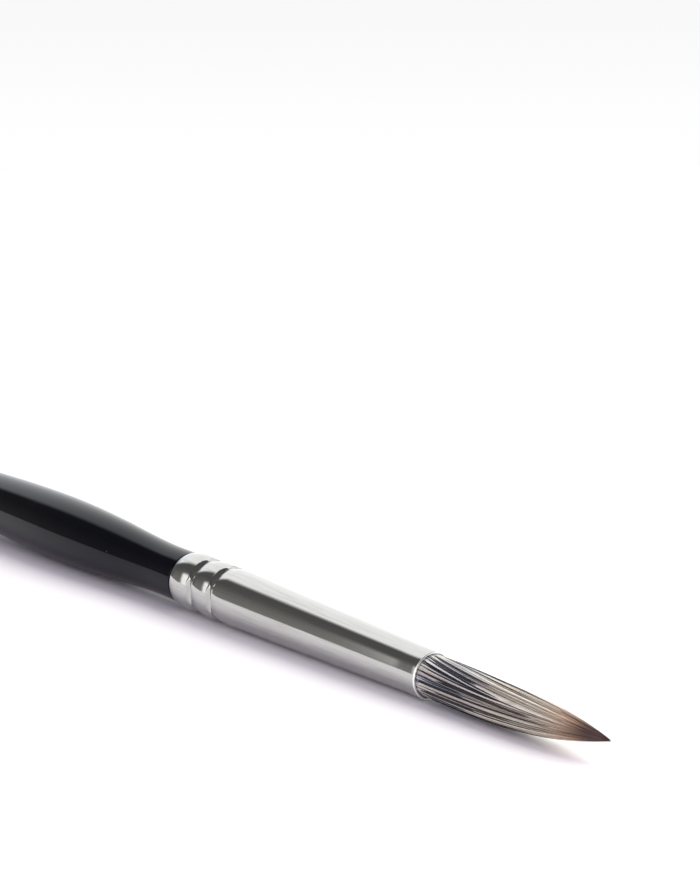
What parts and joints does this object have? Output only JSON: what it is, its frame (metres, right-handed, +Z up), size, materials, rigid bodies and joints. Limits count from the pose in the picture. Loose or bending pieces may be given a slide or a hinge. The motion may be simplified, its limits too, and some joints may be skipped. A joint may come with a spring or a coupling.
{
  "type": "fine detail brush",
  "caption": "Round pointed hobby paint brush: black lacquered wooden handle with a belly, crimped nickel-plated ferrule and a springy hair tuft that bends at the mouth.",
  "frame": {"origin": "centre of the brush's footprint, on the surface it lies on", "axes": "+X along the brush towards the tip of the tuft, +Z up from the surface; the brush's own axis slopes 1.42 degrees down towards the tip, because the brush lies on its belly and the mouth of its ferrule"},
  "size_m": [0.1778, 0.0066, 0.0069],
  "materials": {
    "wood": "turned, unfinished under the lacquer",
    "lacquer": "high-gloss black lacquer",
    "nickel_plate": "nickel-plated, polished, with fine draw lines along the tube",
    "adhesive": "cured amber adhesive",
    "thread": "waxed twisted thread",
    "point_hair": "fine dark brown hair",
    "pale_hair": "fine cream and grey hair, golden tan towards the ends",
    "dark_hair": "fine blue-black and dark brown hair"
  },
  "bodies": {
    "brush": {"handle_core": "wood", "handle_lacquer": "lacquer", "ferrule": "nickel_plate", "tenon_adhesive": "adhesive", "root_plug": "adhesive", "binding_thread": "thread"},
    "tuft": {"point_hairs": "point_hair", "pale_hairs": "pale_hair", "dark_locks": "dark_hair"}
  },
  "joints": [
    {"name": "tuft_bend", "type": "hinge", "parent": "brush", "child": "tuft", "pos_m": [0.07048, 0, 0.0019], "axis": [0, 1, 0], "range_deg": [-40, 40], "stiffness_Nm_per_rad": 0.002, "deforming": ["point_hairs", "pale_hairs", "dark_locks"]}
  ]
}
